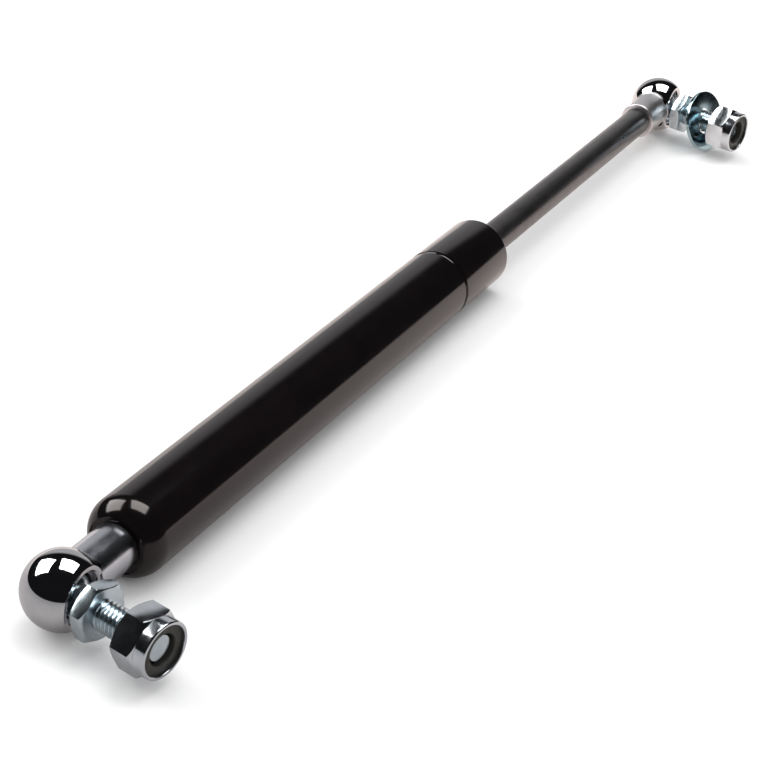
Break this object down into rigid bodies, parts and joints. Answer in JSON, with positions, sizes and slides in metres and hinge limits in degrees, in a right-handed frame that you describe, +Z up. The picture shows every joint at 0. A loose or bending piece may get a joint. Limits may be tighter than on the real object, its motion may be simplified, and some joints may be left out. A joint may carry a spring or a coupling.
{
  "type": "gas strut stay",
  "caption": "Gas strut stay: closed tube with a sliding rod, and a ball joint with a threaded stud and lock nut at each end, to hold a lid or panel open.",
  "frame": {"origin": "under the middle of the strut's bounding box, on the surface it lies on", "axes": "+X along the strut from the tube's closed end to the rod's end, -Y the side the studs stand out of, +Z up"},
  "size_m": [0.424, 0.0472, 0.022],
  "materials": {
    "gloss_paint": "smooth glossy black paint",
    "dark_rod": "ground and nitrided, satin black",
    "bright_socket": "mirror bright turned steel",
    "zinc_stud": "bright blue passivated zinc",
    "zinc_nut": "bright zinc",
    "zinc_washer": "bright zinc",
    "nylon": "matt black",
    "spring_steel": "oiled spring steel",
    "plain_steel": "turned steel",
    "alloy": "die cast",
    "ring_plastic": "smooth off-white",
    "seal_rubber": "matt black",
    "guide_bronze": "sintered bronze"
  },
  "bodies": {
    "cylinder": {"pressure_tube": "gloss_paint", "tube_thread_stud": "plain_steel", "tube_side_socket": "bright_socket", "seal_washer": "plain_steel", "rod_seal": "seal_rubber", "rod_guide": "guide_bronze", "tube_end_washer": "plain_steel"},
    "sliding_ring": {"piston_ring": "ring_plastic"},
    "rod": {"piston_rod": "dark_rod", "piston": "alloy", "piston_disc": "plain_steel", "piston_washer": "plain_steel", "rod_side_socket": "bright_socket"},
    "tube_side_ring": {"tube_side_snap_ring": "spring_steel"},
    "tube_side_stud": {"tube_side_ball_stud": "zinc_stud"},
    "tube_side_insert": {"tube_side_nut_insert": "nylon"},
    "tube_side_nut": {"tube_side_lock_nut": "zinc_nut"},
    "rod_side_ring": {"rod_side_snap_ring": "spring_steel"},
    "rod_side_stud": {"rod_side_ball_stud": "zinc_stud"},
    "rod_side_insert": {"rod_side_nut_insert": "nylon"},
    "rod_side_nut": {"rod_side_lock_nut": "zinc_nut"},
    "washer": {"rod_side_washer": "zinc_washer"}
  },
  "joints": [
    {"name": "rod_slide", "type": "slide", "parent": "cylinder", "child": "sliding_ring", "axis": [1, 0, 0], "range_m": [-0.14, 0], "stiffness_N_per_m": 300, "springref_m": 0.33333},
    {"name": "rod_spin", "type": "hinge", "parent": "sliding_ring", "child": "rod", "pos_m": [0.10198, 0.01264, 0.011], "axis": [1, 0, 0], "continuous": true},
    {"name": "tube_stud_spin", "type": "hinge", "parent": "cylinder", "child": "tube_side_ring", "pos_m": [-0.19802, 0.01264, 0.011], "axis": [0, -1, 0], "continuous": true},
    {"name": "tube_stud_tilt", "type": "hinge", "parent": "tube_side_ring", "child": "tube_side_stud", "pos_m": [-0.19802, 0.01264, 0.011], "axis": [0, 0, 1], "range_deg": [-7, 29]},
    {"name": "tube_nut_travel", "type": "slide", "parent": "tube_side_stud", "child": "tube_side_insert", "axis": [-0.1908, -0.9816, 0], "range_m": [-0.00915, 0.03005]},
    {"name": "tube_nut_turn", "type": "hinge", "parent": "tube_side_insert", "child": "tube_side_nut", "pos_m": [-0.20307, -0.01338, 0.011], "axis": [-0.1908, -0.9816, 0], "range_deg": [-2620.8, 8640]},
    {"name": "rod_stud_spin", "type": "hinge", "parent": "rod", "child": "rod_side_ring", "pos_m": [0.20198, 0.01264, 0.011], "axis": [0, -1, 0], "continuous": true},
    {"name": "rod_stud_tilt", "type": "hinge", "parent": "rod_side_ring", "child": "rod_side_stud", "pos_m": [0.20198, 0.01264, 0.011], "axis": [0, 0, 1], "range_deg": [-7, 29]},
    {"name": "rod_nut_travel", "type": "slide", "parent": "rod_side_stud", "child": "rod_side_insert", "axis": [-0.1908, -0.9816, 0], "range_m": [-0.00205, 0.03005]},
    {"name": "rod_nut_turn", "type": "hinge", "parent": "rod_side_insert", "child": "rod_side_nut", "pos_m": [0.19693, -0.01338, 0.011], "axis": [-0.1908, -0.9816, 0], "range_deg": [-576, 8640]},
    {"name": "washer_slide", "type": "slide", "parent": "rod_side_insert", "child": "washer", "axis": [-0.1908, -0.9816, 0], "range_m": [-0.001, 0.0004]}
  ],
  "couplings": [
    {"joint": "tube_nut_travel", "follows": "tube_nut_turn", "m_per_rad": 0.00019894},
    {"joint": "rod_nut_travel", "follows": "rod_nut_turn", "m_per_rad": 0.00019894}
  ]
}
